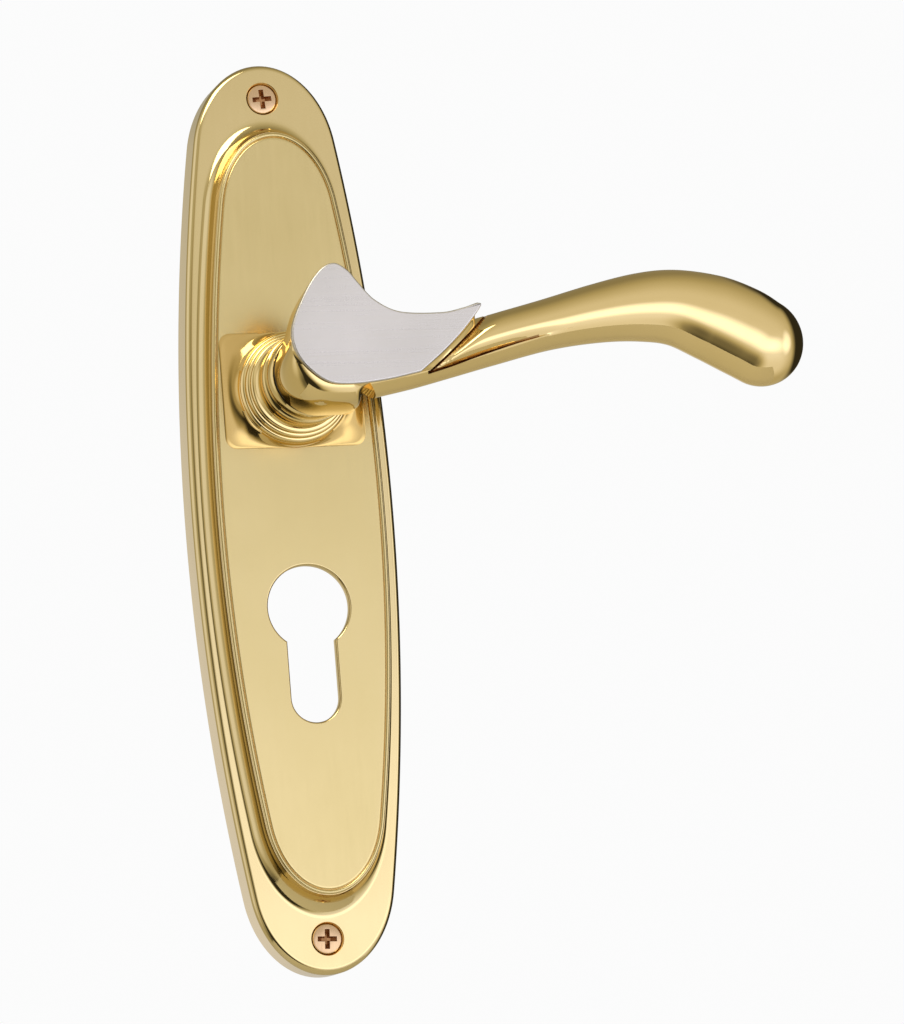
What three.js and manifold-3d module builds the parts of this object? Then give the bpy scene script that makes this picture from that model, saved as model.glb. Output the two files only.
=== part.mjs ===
// Sprung lever door handle on a long oval backplate with a euro-profile cut-out.
// Millimetres. X runs to the lever's free end, Z is up, and -Y points out of the door.
// The door's face is y = 0 and the spindle's axis is the Y axis. "Proud" means the
// distance out from the door's face, so proud = -y.
import * as THREE from 'three';
import { mergeVertices } from 'three/addons/utils/BufferGeometryUtils.js';
import Module from 'manifold-3d';

const wasm = await Module();
wasm.setup();

// ---- driving dimensions ----
const GAP = 0.3;                     // clearance between separate pieces
const SPINDLE_TO_CYLINDER = 47.5;    // lock-case standard centres
const PLATE_CENTRE = -26.2;          // plate's centre below the spindle
const PLATE = { halfW: 22.6, halfL: 100, endR: 16.3, stretch: 1.33, depth: 8, edge: 1.2 };
const PANEL = { halfW: 17.4, halfL: 82.2, endR: 12.4, stretch: 1.5, proud: 14 };
const COVE = { side: 2.9, end: 5.2, steps: 3 };
const SKIN = 1.9;                    // the plate's wall
const SCREW_SPREAD = 92.3;           // fixing screws above and below the plate's centre
const SCREW = { headR: 3.5, headH: 2.2, shankR: 1.9, length: 25, point: 5 };
const BOSS_R = 6;
const EURO = { r: 9.1, leg: 5.4, drop: 25 };
const PAD = { halfW: 15.6, halfH: 12.6, corner: 2.5, rise: 0.7 };
const COLLAR_PROUD = 31.8;           // collar's outer end
const NECK_HOLE_R = 10.2;
const TAIL = { r: 7, flat: 6.4, back: 2.6, grooveR: 6.2 };
const SPINDLE = { side: 8, front: 40, behindDoor: 50 };
const HEAD = { back: 32.8, front: 44.6, hubR: 8.8, cutX: 8 };
const FACE_THICK = 1.3;
const WASHER_R = 8.7;
const GRUB = { r: 3, proud: 37, top: -SPINDLE.side / 2 - GAP, bottom: -8.3, hex: 1.5 };
const ARM = {
  proud: 39.4, thin: 3.4, thinPerR: 0.34, steps: 22, domeSteps: 5,
  // middle of the section across the lever, its height, and half its depth
  stations: [[10.6, 0.8, 7.8], [19, 1.2, 6.5], [27, 2.2, 5.5], [37, 4.2, 4.9], [50, 7.7, 5.3],
    [62, 10, 6.4], [72, 11.1, 7.5], [80, 10.8, 8.4], [88, 8.4, 9.6], [94.5, 5.4, 10],
    [98.8, 2.8, 9.8]],
};
const CUP = { r: 14.6, wall: 1.4, front: 11.9, back: 2.4, floor: 1.2, holeR: 9 };
const ROTOR = { hubR: 8.9, front: 9.4, back: 4.6, wingR: 12.8, wingAngle: 7 };
const COVER = { thick: 1, earZ: 18.4, earR: 3.4, holeR: 6.5 };
const SPRING = { ring: 11.1, coil: 1.5, wire: 0.35, turns: 9, proud: 6.6 };
const DEG = Math.PI / 180;

// ---- materials ----
const metal = (color, roughness, metalness = 1) =>
  new THREE.MeshStandardMaterial({ color, roughness, metalness });
const polishedBrass = () => metal(0xd9b35c, 0.16);
const satinBrass = () => metal(0xd2b878, 0.3);
const satinNickel = () => metal(0xcfc7bd, 0.38);
const screwBrass = () => metal(0xb98a4e, 0.35);
const zincSteel = () => metal(0xb4b8bb, 0.4);
const springSteel = () => metal(0x8d9094, 0.35);
const blackNylon = () => metal(0x1b1a19, 0.55, 0);
const nylon = () => metal(0xe9e6dc, 0.6, 0);

// ---- solids ----
function signedVolume(position, index) {
  const [a, b, c] = [new THREE.Vector3(), new THREE.Vector3(), new THREE.Vector3()];
  let six = 0;
  for (let i = 0; i < index.count; i += 3) {
    a.fromBufferAttribute(position, index.getX(i));
    b.fromBufferAttribute(position, index.getX(i + 1));
    c.fromBufferAttribute(position, index.getX(i + 2));
    six += a.dot(b.cross(c));
  }
  return six / 6;
}

function solid(geometry) {
  const bare = geometry.clone();
  bare.deleteAttribute('normal');
  bare.deleteAttribute('uv');
  const merged = mergeVertices(bare, 1e-4);
  const triVerts = Uint32Array.from(merged.index.array);
  if (signedVolume(merged.attributes.position, merged.index) < 0) triVerts.reverse();
  const vertProperties = Float32Array.from(merged.attributes.position.array);
  return new wasm.Manifold(new wasm.Mesh({ numProp: 3, vertProperties, triVerts }));
}

function geometryOf(body) {
  const out = body.getMesh();
  const geometry = new THREE.BufferGeometry();
  geometry.setAttribute('position', new THREE.BufferAttribute(out.vertProperties, 3));
  geometry.setIndex(new THREE.BufferAttribute(out.triVerts, 1));
  geometry.computeVertexNormals();
  return geometry;
}

// A flat shape, drawn in X and Z, as a slab between two distances out from the door.
function slab(shape, back, front, edge = 0, edgeSteps = 3) {
  const bevel = {
    bevelEnabled: edge > 0, bevelThickness: edge, bevelSize: edge, bevelOffset: -edge,
    bevelSegments: edgeSteps,
  };
  const depth = front - back - 2 * edge;
  const geometry = new THREE.ExtrudeGeometry(shape, { depth, curveSegments: 10, ...bevel });
  geometry.translate(0, 0, back + edge);
  geometry.rotateX(90 * DEG);
  return solid(geometry);
}

// A profile of [radius, proud] points, closed on itself, turned about the spindle's axis.
function turned(profile, segments = 32) {
  const points = profile.map(([r, proud]) => new THREE.Vector2(r, -proud));
  points.push(points[0].clone());
  return solid(new THREE.LatheGeometry(points, segments));
}

function rod(r, back, front, segments = 32) {
  return turned([[0, back], [r, back], [r, front], [0, front]], segments);
}

function ring(inner, outer, back, front, segments = 32) {
  return turned([[inner, back], [outer, back], [outer, front], [inner, front]], segments);
}

function block(x0, x1, back, front, z0, z1) {
  const geometry = new THREE.BoxGeometry(x1 - x0, front - back, z1 - z0);
  geometry.translate((x0 + x1) / 2, -(back + front) / 2, (z0 + z1) / 2);
  return solid(geometry);
}

// ---- outlines ----
// A long oval: two wide side arcs that run tangent into elliptical ends.
function ovalPoints({ halfW, halfL, endR, stretch }, centreZ = PLATE_CENTRE) {
  const sideCount = 6;
  const endCount = 7;
  const endZ = halfL - endR * stretch;
  const end = (a) => [endR * Math.cos(a), endZ + endR * stretch * Math.sin(a)];
  const sideCentre = (a) => end(a)[0] - end(a)[1] * stretch / Math.tan(a);
  let [low, high] = [0.02, Math.PI / 2 - 0.01];
  for (let i = 0; i < 40; i += 1) {
    const a = (low + high) / 2;
    const reach = Math.hypot(end(a)[0] - sideCentre(a), end(a)[1]);
    if (reach < halfW - sideCentre(a)) low = a; else high = a;
  }
  const cx = sideCentre(low);
  const sweep = Math.atan2(end(low)[1], end(low)[0] - cx);
  const quarter = [];
  for (let i = 0; i < sideCount; i += 1) {
    const a = sweep * i / sideCount;
    quarter.push([cx + (halfW - cx) * Math.cos(a), (halfW - cx) * Math.sin(a)]);
  }
  for (let i = 0; i <= endCount; i += 1) quarter.push(end(low + (Math.PI / 2 - low) * i / endCount));
  const right = [...quarter, ...quarter.slice(0, -1).reverse().map(([x, z]) => [-x, z])];
  const below = right.slice(1, -1).reverse().map(([x, z]) => [x, -z]);
  return [...right, ...below].map(([x, z]) => new THREE.Vector2(x, z + centreZ));
}

const ovalShape = (oval, inset = 0) => new THREE.Shape(ovalPoints({
  ...oval, halfW: oval.halfW - inset, halfL: oval.halfL - inset, endR: oval.endR - inset,
}));

// A cylinder-lock profile: a round hole over a round-ended leg.
function euroShape() {
  const shape = new THREE.Shape();
  const meet = Math.asin(EURO.leg / EURO.r);
  const centre = -SPINDLE_TO_CYLINDER;
  shape.absarc(0, centre, EURO.r, meet - 90 * DEG, 270 * DEG - meet, false);
  shape.absarc(0, centre - EURO.drop + EURO.leg, EURO.leg, 180 * DEG, 360 * DEG, false);
  return shape;
}

function roundedBox(halfW, halfH, corner) {
  const shape = new THREE.Shape();
  shape.absarc(halfW - corner, halfH - corner, corner, 0, 90 * DEG);
  shape.absarc(corner - halfW, halfH - corner, corner, 90 * DEG, 180 * DEG);
  shape.absarc(corner - halfW, corner - halfH, corner, 180 * DEG, 270 * DEG);
  shape.absarc(halfW - corner, corner - halfH, corner, 270 * DEG, 360 * DEG);
  return shape;
}

function sector(inner, outer, from, to) {
  const shape = new THREE.Shape();
  shape.absarc(0, 0, outer, from * DEG, to * DEG, false);
  shape.absarc(0, 0, inner, to * DEG, from * DEG, true);
  return shape;
}

const vectors = (pairs) => pairs.map(([x, z]) => new THREE.Vector2(x, z));
const smooth = (pairs, count) => new THREE.SplineCurve(vectors(pairs)).getPoints(count);

// The crest-shaped face of the lever's head: round at the neck, hollow above, a blunt tip at the arm.
function crestShape(outset = 0) {
  const hollow = smooth([[33, 11.7], [29.5, 10.6], [25, 9.9], [16.2, 10.3], [10.9, 12.9],
    [7.4, 16.7], [5, 19.8], [2.3, 21.2]], 16);
  const round = smooth([[2.3, 21.2], [-0.8, 19.8], [-4.6, 14.4], [-7.8, 6.9], [-6.5, 0.8],
    [-1.5, -4], [3.9, -5], [12, -4.2], [18.8, -3.1]], 26);
  const slope = smooth([[18.8, -3.1], [23, 0.2], [28, 6], [33.2, 10.5]], 6);
  const tip = smooth([[33.2, 10.5], [33.7, 11.3], [33, 11.7]], 2);
  const points = [...hollow, ...round.slice(1), ...slope.slice(1), ...tip.slice(1, -1)];
  const centre = new THREE.Vector2(8, 5);
  const grown = points.map((p) => p.clone().add(p.clone().sub(centre).setLength(outset)));
  return new THREE.Shape(grown);
}

// The scrolled arm: round sections of changing size along a curved spine, with a domed end.
function arm() {
  const spine = new THREE.CatmullRomCurve3(ARM.stations.map((at) => new THREE.Vector3(...at)));
  const profile = [new THREE.Vector2(0, 0)];
  for (let i = 0; i <= ARM.steps; i += 1) profile.push(new THREE.Vector2(1, i / ARM.steps));
  for (let i = 1; i < ARM.domeSteps; i += 1) {
    const a = 90 * DEG * i / ARM.domeSteps;
    profile.push(new THREE.Vector2(Math.cos(a), 1 + Math.sin(a)));
  }
  profile.push(new THREE.Vector2(0, 2));
  const geometry = new THREE.LatheGeometry(profile, 24);
  const vertices = geometry.attributes.position;
  for (let i = 0; i < vertices.count; i += 1) {
    const t = Math.min(vertices.getY(i), 1);
    const { x, y: z, z: r } = spine.getPoint(t);
    const along = spine.getTangent(t).setZ(0).normalize();
    const across = r * vertices.getX(i);
    const beyond = r * (vertices.getY(i) - t);
    const proud = ARM.proud + (ARM.thin + ARM.thinPerR * r) * vertices.getZ(i);
    vertices.setXYZ(i, x + along.x * beyond - along.y * across, -proud,
      z + along.y * beyond + along.x * across);
  }
  return solid(geometry);
}

// ---- the plate ----
function countersunkHole(z) {
  const hole = turned([[0, -1], [SCREW.shankR + 0.4, -1],
    [SCREW.shankR + 0.4, PLATE.depth - SCREW.headH], [SCREW.headR + GAP, PLATE.depth - 0.2],
    [SCREW.headR + GAP, PLATE.depth + 1], [0, PLATE.depth + 1]], 28);
  return hole.translate([0, 0, z]);
}

function backplate() {
  const rim = slab(ovalShape(PLATE), -2, PLATE.depth, PLATE.edge);
  let body = rim;
  for (let i = 0; i < COVE.steps; i += 1) {
    const left = 1 - i / COVE.steps;
    const rise = (PANEL.proud - PLATE.depth) * (1 - left ** 2) * 0.9;
    const oval = {
      ...PANEL, halfW: PANEL.halfW + COVE.side * left, halfL: PANEL.halfL + COVE.end * left,
      endR: PANEL.endR + COVE.side * left,
    };
    const top = PLATE.depth + Math.max(rise, 0.5);
    body = body.add(slab(ovalShape(oval), PLATE.depth - 2, top));
  }
  body = body.add(slab(ovalShape(PANEL), PLATE.depth - 2, PANEL.proud, 0.5, 2));
  body = body.add(slab(roundedBox(PAD.halfW, PAD.halfH, PAD.corner), PLATE.depth,
    PANEL.proud + PAD.rise, 0.4, 2));
  body = body.subtract(slab(ovalShape(PLATE, SKIN), -3, PLATE.depth - SKIN));
  body = body.subtract(slab(ovalShape(PANEL, SKIN), 0, PANEL.proud - SKIN));
  for (const side of [1, -1]) {
    const z = PLATE_CENTRE + side * SCREW_SPREAD;
    body = body.add(rod(BOSS_R, 0, PLATE.depth - 1, 28).translate([0, 0, z]));
    body = body.subtract(countersunkHole(z));
    body = body.add(rod(COVER.earR - 0.4, CUP.back, PANEL.proud - 1, 20)
      .translate([0, 0, side * COVER.earZ]));
    body = body.subtract(rod(1.5, 0, CUP.back + 7, 16).translate([0, 0, side * COVER.earZ]));
  }
  body = body.subtract(slab(euroShape(), 0, PANEL.proud + 2));
  body = body.subtract(rod(NECK_HOLE_R, 0, PANEL.proud + 2));
  return body.subtract(block(-60, 60, -10, 0, -200, 200));
}

// A fixing screw: flat countersunk head with a cross recess, plain shank and point.
function fixingScrew() {
  const top = PLATE.depth - 0.3;
  const tip = top - SCREW.length;
  const body = turned([[0, tip], [0.4, tip], [SCREW.shankR, tip + SCREW.point],
    [SCREW.shankR, top - SCREW.headH], [SCREW.headR, top - 0.3], [SCREW.headR, top], [0, top]], 28);
  const arm = [2.3, 0.55, 1.5];
  return body
    .subtract(block(-arm[0], arm[0], top - arm[2], top + 1, -arm[1], arm[1]))
    .subtract(block(-arm[1], arm[1], top - arm[2], top + 1, -arm[0], arm[0]));
}

// ---- the neck ----
// The fixed collar: a flared foot, stepped rings and a waist, with a spigot through the plate.
function neckCollar() {
  const foot = PANEL.proud + PAD.rise + GAP;
  return turned([[8.9, 12.3], [NECK_HOLE_R - GAP, 12.3], [NECK_HOLE_R - GAP, foot],
    [12.6, foot], [12, foot + 0.8], [11.6, 17.6], [10.8, 18.2], [10.6, 20], [9.9, 20.6], [9.9, 21.8],
    [9.5, 22.4], [9.9, 25], [9.6, 27.5], [9.1, 28.2], [9.2, 29], [8.9, COLLAR_PROUD],
    [7.9, COLLAR_PROUD], [7.9, COLLAR_PROUD - 1.2], [8.6, COLLAR_PROUD - 1.2], [8.6, 15],
    [8.9, 14.6]], 36);
}

function neckBush() {
  return turned([[TAIL.r + GAP, 12.4], [8.6, 12.4], [8.3, 14.8], [8.3, 30.4],
    [TAIL.r + GAP, 30.4]]);
}

// ---- the lever ----
function lever() {
  const neck = rod(TAIL.r, TAIL.back, HEAD.back + 2);
  const hub = rod(HEAD.hubR, HEAD.back, HEAD.front - 2)
    .subtract(block(HEAD.cutX, 30, 0, 60, -30, -4));
  const head = slab(crestShape(0.4), HEAD.back + 0.35, HEAD.front, 0.35, 1);
  const recess = slab(crestShape(GAP), HEAD.front, HEAD.front + 4);
  const half = SPINDLE.side / 2 + 0.2;
  return neck.add(hub).add(head).add(arm().subtract(recess))
    .subtract(block(-half, half, 0, SPINDLE.front + GAP, -half, half))
    .subtract(ring(TAIL.grooveR, TAIL.r + 2, 2.9, 3.8))
    .subtract(block(-20, 20, 0, 10, TAIL.flat, 20))
    .subtract(block(-20, 20, 0, 10, -20, -TAIL.flat))
    .subtract(grubHole());
}

function downward(r, z0, z1, segments) {
  const geometry = new THREE.CylinderGeometry(r, r, z1 - z0, segments);
  geometry.rotateX(90 * DEG).translate(0, -GRUB.proud, (z0 + z1) / 2);
  return solid(geometry);
}

const grubHole = () => downward(GRUB.r + GAP, -20, 0, 24);
const grubScrew = () => downward(GRUB.r, GRUB.bottom, GRUB.top, 24)
  .subtract(downward(GRUB.hex, GRUB.bottom - 1, GRUB.bottom + 2, 6));
const leverFace = () => slab(crestShape(0), HEAD.front + GAP, HEAD.front + GAP + FACE_THICK, 0.25, 1);

function spindle() {
  const half = SPINDLE.side / 2;
  return block(-half, half, -SPINDLE.behindDoor, SPINDLE.front, -half, half);
}

// ---- the return-spring cassette behind the plate ----
function cassetteCup() {
  const inner = CUP.r - CUP.wall;
  let cup = ring(inner, CUP.r, CUP.back, CUP.front)
    .add(ring(CUP.holeR, CUP.r, CUP.front - CUP.floor, CUP.front));
  const stops = [[8, 22], [82, 98], [188, 202], [262, 278]];
  for (const [from, to] of stops) {
    cup = cup.add(slab(sector(9.3, inner + 0.5, from, to), CUP.back, CUP.front - 0.5));
  }
  return cup;
}

function cassetteCover() {
  const back = CUP.back - GAP - COVER.thick;
  const front = CUP.back - GAP;
  let cover = rod(CUP.r, back, front);
  for (const side of [1, -1]) {
    cover = cover.add(rod(COVER.earR, back, front, 24).translate([0, 0, side * COVER.earZ]))
      .add(block(-COVER.earR, COVER.earR, back, front, Math.min(0, side * COVER.earZ),
        Math.max(0, side * COVER.earZ)))
      .subtract(rod(1.6, back - 1, front + 1, 16).translate([0, 0, side * COVER.earZ]));
  }
  return cover.subtract(rod(COVER.holeR, back - 1, front + 1));
}

function coverScrew() {
  const seat = CUP.back - GAP - COVER.thick - 0.1;
  const body = turned([[0, seat - 0.9], [1.9, seat - 0.9], [2.4, seat], [1.25, seat],
    [1.25, seat + 7], [0, seat + 7]], 20);
  return body.subtract(block(-3, 3, seat - 2, seat - 0.5, -0.3, 0.3));
}

function rotor() {
  let body = rod(ROTOR.hubR, ROTOR.back, ROTOR.front);
  for (const middle of [0, 180]) {
    const wing = sector(ROTOR.hubR - 1, ROTOR.wingR, middle - ROTOR.wingAngle, middle + ROTOR.wingAngle);
    body = body.add(slab(wing, ROTOR.back, ROTOR.front - 0.6));
  }
  const clear = 0.25;
  const bore = rod(TAIL.r + clear, 0, 20)
    .subtract(block(-20, 20, 0, 20, TAIL.flat + clear, 20))
    .subtract(block(-20, 20, 0, 20, -20, -TAIL.flat - clear));
  return body.subtract(bore);
}

const flatWasher = (back, front) => ring(TAIL.r + GAP, WASHER_R, back, front);

function circlip() {
  return ring(TAIL.grooveR + 0.15, 8.6, 3, 3.6, 32).subtract(block(-1.2, 1.2, 2, 5, -12, 0));
}

// A coil wound round an arc, from one angle to another, in the plane of the rotor's wings.
class ArcHelix extends THREE.Curve {
  constructor(from, to) {
    super();
    this.from = from * DEG;
    this.to = to * DEG;
  }

  getPoint(t, target = new THREE.Vector3()) {
    const along = this.from + (this.to - this.from) * t;
    const turn = 2 * Math.PI * SPRING.turns * t;
    const r = SPRING.ring + SPRING.coil * Math.cos(turn);
    const proud = SPRING.proud + SPRING.coil * Math.sin(turn);
    return target.set(r * Math.cos(along), -proud, r * Math.sin(along));
  }
}

function arcSpring(from, to) {
  const wire = new THREE.Shape().absarc(0, 0, SPRING.wire, 0, 2 * Math.PI);
  const geometry = new THREE.ExtrudeGeometry(wire, {
    steps: SPRING.turns * 7, curveSegments: 3, bevelEnabled: false,
    extrudePath: new ArcHelix(from, to),
  });
  return solid(geometry);
}

// ---- the assembly ----
const handle = new THREE.Group();

function piece(name, body, material) {
  const mesh = new THREE.Mesh(geometryOf(body), material);
  mesh.name = name;
  handle.add(mesh);
  return mesh;
}

piece('backplate', backplate(), satinBrass());
piece('neck_collar', neckCollar(), polishedBrass());
piece('neck_bush', neckBush(), nylon());
piece('lever', lever(), polishedBrass());
piece('lever_face', leverFace(), satinNickel());
piece('spindle', spindle(), zincSteel());
piece('grub_screw', grubScrew(), springSteel());
piece('head_washer', flatWasher(COLLAR_PROUD + GAP, HEAD.back - GAP), blackNylon());
piece('thrust_washer', flatWasher(9.7, 10.4), zincSteel());
piece('spring_rotor', rotor(), zincSteel());
piece('wave_washer', flatWasher(3.95, 4.3), springSteel());
piece('circlip', circlip(), springSteel());
piece('cassette_cup', cassetteCup(), zincSteel());
piece('cassette_cover', cassetteCover(), zincSteel());
piece('return_spring_right', arcSpring(-10, -79), springSteel());
piece('return_spring_left', arcSpring(170, 101), springSteel());
for (const [name, side] of [['upper', 1], ['lower', -1]]) {
  piece(`cover_screw_${name}`, coverScrew(), zincSteel()).position.z = side * COVER.earZ;
  piece(`fixing_screw_${name}`, fixingScrew(), screwBrass()).position.z =
    PLATE_CENTRE + side * SCREW_SPREAD;
}

export default handle;
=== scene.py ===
"""Looks for a two-tone scroll lever handle on a long oval backplate with a euro-profile cut-out.

Metres, in the CAD frame: X to the lever's free end, Z up, -Y out of the door, the spindle on the
Y axis. "Proud" is the distance out from the door's face, in millimetres, so y = -proud * MM.
"""
import math

import bmesh
import bpy
import numpy as np
from mathutils import Matrix, Vector


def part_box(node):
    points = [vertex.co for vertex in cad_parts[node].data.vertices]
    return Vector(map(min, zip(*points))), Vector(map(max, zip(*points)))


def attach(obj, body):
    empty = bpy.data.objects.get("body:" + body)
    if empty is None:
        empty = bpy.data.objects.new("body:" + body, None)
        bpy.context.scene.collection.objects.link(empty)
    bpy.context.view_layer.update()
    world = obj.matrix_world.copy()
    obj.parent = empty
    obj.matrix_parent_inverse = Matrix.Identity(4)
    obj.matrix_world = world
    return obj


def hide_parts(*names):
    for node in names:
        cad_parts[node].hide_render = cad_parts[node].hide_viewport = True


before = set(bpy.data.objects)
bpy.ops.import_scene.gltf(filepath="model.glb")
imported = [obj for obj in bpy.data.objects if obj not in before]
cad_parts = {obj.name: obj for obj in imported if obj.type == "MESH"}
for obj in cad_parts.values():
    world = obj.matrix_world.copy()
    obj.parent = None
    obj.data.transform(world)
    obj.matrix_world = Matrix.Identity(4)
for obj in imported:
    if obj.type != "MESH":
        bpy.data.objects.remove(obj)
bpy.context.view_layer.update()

# ---- sizes, in millimetres, read from the frame where the frame has them ----
MM = 0.001


def box_mm(node):
    low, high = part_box(node)
    return low / MM, high / MM


plate_low, plate_high = box_mm("backplate")
screw_low, screw_high = box_mm("fixing_screw_upper")
face_low, face_high = box_mm("lever_face")
collar_low, _ = box_mm("neck_collar")

PLATE_CENTRE = (plate_low.z + plate_high.z) / 2
PLATE = dict(half_w=plate_high.x, half_l=(plate_high.z - plate_low.z) / 2, end_r=16.3, stretch=1.33)
PANEL = dict(half_w=17.4, half_l=82.2, end_r=12.4, stretch=1.5)
PLATE_DEPTH = 8.0
PANEL_PROUD = 14.0
SKIN = 1.9
SCREW_Z = (screw_low.z + screw_high.z) / 2 - PLATE_CENTRE
SCREW_R = (screw_high.x - screw_low.x) / 2
SCREW_TOP = -screw_low.y
HEAD_R = SCREW_R - 0.3
SCREW_TIP = -screw_high.y
CYLINDER_Z = -47.5
EURO_R, EURO_LEG, EURO_DROP = 9.05, 5.35, 25.0
COLLAR_PROUD = -collar_low.y
FACE_BACK, FACE_FRONT = -face_high.y, -face_low.y
HEAD_BACK, HEAD_FRONT = COLLAR_PROUD + 1.0, FACE_BACK - 0.02
HUB_R = 8.8
SPINDLE_HALF = 4.2

# ---- mesh helpers ----


def new_piece(name, vertices, faces, body=None, replaced=None, slot=None, sharp=35):
    """A mesh from points in (x, proud, z) millimetres, smooth but for edges over an angle."""
    mesh = bpy.data.meshes.new(name)
    mesh.from_pydata([(x * MM, -p * MM, z * MM) for x, p, z in vertices], [], faces)
    mesh.validate()
    piece = bpy.data.objects.new(name, mesh)
    bpy.context.scene.collection.objects.link(piece)
    outward(piece)
    smooth_shade(piece, sharp)
    if body:
        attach(piece, body)
        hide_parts(replaced)
    return piece


def outward(piece):
    """Merges doubled points and turns every face outwards."""
    bm = bmesh.new()
    bm.from_mesh(piece.data)
    bmesh.ops.remove_doubles(bm, verts=bm.verts, dist=1e-7)
    bmesh.ops.recalc_face_normals(bm, faces=bm.faces)
    bm.to_mesh(piece.data)
    bm.free()


def smooth_shade(piece, sharp):
    piece.data.polygons.foreach_set("use_smooth", [True] * len(piece.data.polygons))
    piece.data.set_sharp_from_angle(angle=math.radians(sharp))


def walls(rings):
    """Faces between rings with the same number of points."""
    count = len(rings[0])
    vertices = [point for ring in rings for point in ring]
    faces = []
    for row in range(len(rings) - 1):
        for i in range(count):
            a, b = row * count + i, row * count + (i + 1) % count
            faces.append((a, b, b + count, a + count))
    return vertices, faces


def loft(rings):
    """A solid whose first and last rings are its ends."""
    count = len(rings[0])
    vertices, faces = walls(rings)
    faces.append(tuple(range(count))[::-1])
    faces.append(tuple(range((len(rings) - 1) * count, len(rings) * count)))
    return vertices, faces


def closed_loft(rings):
    """A solid with a hole through it, whose last ring joins its first."""
    count = len(rings[0])
    vertices, faces = walls(rings)
    last = (len(rings) - 1) * count
    for i in range(count):
        j = (i + 1) % count
        faces.append((last + i, last + j, j, i))
    return vertices, faces


def lathe(profile, segments=96, centre=(0.0, 0.0)):
    """Rings turned about a line along Y, from a profile of (radius, proud)."""
    rings = []
    for r, proud in profile:
        ring = []
        for i in range(segments):
            a = 2 * math.pi * i / segments
            ring.append((centre[0] + r * math.cos(a), proud, centre[1] + r * math.sin(a)))
        rings.append(ring)
    return rings


def rod(r, back, front, segments=64, centre=(0.0, 0.0)):
    return loft(lathe([(r, back), (r, front)], segments, centre))


def combine(piece, other, operation):
    """Applies a boolean with another object and removes it."""
    modifier = piece.modifiers.new("cut", "BOOLEAN")
    modifier.operation = operation
    modifier.solver = "EXACT"
    modifier.object = other
    bpy.context.view_layer.update()
    graph = bpy.context.evaluated_depsgraph_get()
    result = bpy.data.meshes.new_from_object(piece.evaluated_get(graph))
    piece.modifiers.clear()
    piece.data = result
    bpy.data.objects.remove(other)


def true_faces(piece):
    """Keeps large flat faces flat in shading where they meet small rounded ones."""
    modifier = piece.modifiers.new("true_faces", "WEIGHTED_NORMAL")
    modifier.keep_sharp = True


def cut(piece, shape):
    combine(piece, new_piece("cutter", *shape), "DIFFERENCE")


def add(piece, shape):
    combine(piece, new_piece("added", *shape), "UNION")


def spline(points, count):
    """Catmull-Rom points through a short list of control points."""
    points = [np.array(p, float) for p in points]
    padded = [2 * points[0] - points[1], *points, 2 * points[-1] - points[-2]]
    out = []
    for i in range(count + 1):
        u = i / count * (len(points) - 1)
        k = min(int(u), len(points) - 2)
        f = u - k
        a, b, c, d = padded[k:k + 4]
        out.append(0.5 * (2 * b + (c - a) * f + (2 * a - 5 * b + 4 * c - d) * f ** 2
                          + (3 * b - a - 3 * c + d) * f ** 3))
    return out


def resample(points, count):
    """Points evenly spaced along an open run."""
    points = np.array(points)
    steps = np.r_[0, np.cumsum(np.linalg.norm(np.diff(points, axis=0), axis=1))]
    at = np.linspace(0, steps[-1], count)
    return np.stack([np.interp(at, steps, points[:, k]) for k in range(points.shape[1])], axis=1)


def runs(*groups, per=8):
    """A profile of smooth runs that meet at crisp corners."""
    out = []
    for group in groups:
        points = spline(group, per * (len(group) - 1)) if len(group) > 2 else group
        out += [tuple(p) for p in (points[1:] if out else points)]
    return out


def mix(a, b, t):
    return a + (b - a) * t


def ease(t):
    t = min(max(t, 0.0), 1.0)
    return t * t * (3 - 2 * t)


# ---- outlines ----


def oval(half_w, half_l, end_r, stretch, side=34, end=26):
    """Two wide side arcs that run tangent into elliptical ends, about the plate's centre."""
    end_z = half_l - end_r * stretch

    def on_end(a):
        return end_r * math.cos(a), end_z + end_r * stretch * math.sin(a)

    def side_centre(a):
        x, z = on_end(a)
        return x - z * stretch / math.tan(a)

    low, high = 0.02, math.pi / 2 - 0.01
    for _ in range(50):
        a = (low + high) / 2
        x, z = on_end(a)
        if math.hypot(x - side_centre(a), z) < half_w - side_centre(a):
            low = a
        else:
            high = a
    cx = side_centre(low)
    x, z = on_end(low)
    sweep = math.atan2(z, x - cx)
    quarter = []
    for i in range(side):
        a = sweep * i / side
        quarter.append((cx + (half_w - cx) * math.cos(a), (half_w - cx) * math.sin(a)))
    for i in range(end + 1):
        quarter.append(on_end(low + (math.pi / 2 - low) * i / end))
    right = quarter + [(-x, z) for x, z in quarter[:-1][::-1]]
    below = [(x, -z) for x, z in right[1:-1][::-1]]
    return [(x, z + PLATE_CENTRE) for x, z in right + below]


def oval_ring(base, proud, side=0.0, end=None):
    """An oval grown by side at its sides and by end at its tips, at one height."""
    end = side if end is None else end
    grown = dict(base, half_w=base["half_w"] + side, half_l=base["half_l"] + end,
                 end_r=base["end_r"] + side)
    return [(x, proud, z) for x, z in oval(**grown)]


def euro_outline(grow=0.0):
    r, leg = EURO_R + grow, EURO_LEG + grow
    meet = math.asin(leg / r)
    start, stop = meet - math.pi / 2, 3 * math.pi / 2 - meet
    points = []
    for i in range(73):
        a = mix(start, stop, i / 72)
        points.append((r * math.cos(a), CYLINDER_Z + r * math.sin(a)))
    leg_z = CYLINDER_Z - EURO_DROP + EURO_LEG
    for i in range(33):
        a = math.pi + math.pi * i / 32
        points.append((leg * math.cos(a), leg_z + leg * math.sin(a)))
    return points


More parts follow.
